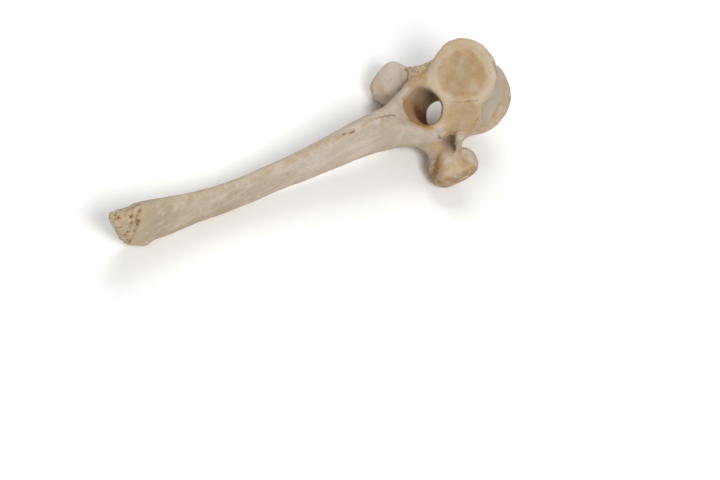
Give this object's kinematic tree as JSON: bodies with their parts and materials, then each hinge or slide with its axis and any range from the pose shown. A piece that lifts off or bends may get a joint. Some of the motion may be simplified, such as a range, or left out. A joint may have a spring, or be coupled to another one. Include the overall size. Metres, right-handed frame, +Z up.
{
  "type": "elk vertebra",
  "caption": "Elk thoracic vertebra from the withers, a dry bleached bone with a long leaning spinous process, lying on its transverse processes.",
  "frame": {"origin": "On the floor under the middle of the bone's bounding box.", "axes": "+X runs along the bone from the tip of the spinous process to the vertebral body, +Y towards the animal's right side, +Z up from the floor that the bone rests on."},
  "size_m": [0.301, 0.093, 0.0759],
  "materials": {
    "bone": "Dry cleaned bone: matt cream with tan joint faces and brown stains, spongy at the tip."
  },
  "bodies": {
    "root": {"centrum": "bone", "neural_arch": "bone", "transverse_process_left": "bone", "transverse_process_right": "bone", "spinous_process": "bone", "spine_summit": "bone"}
  },
  "joints": []
}
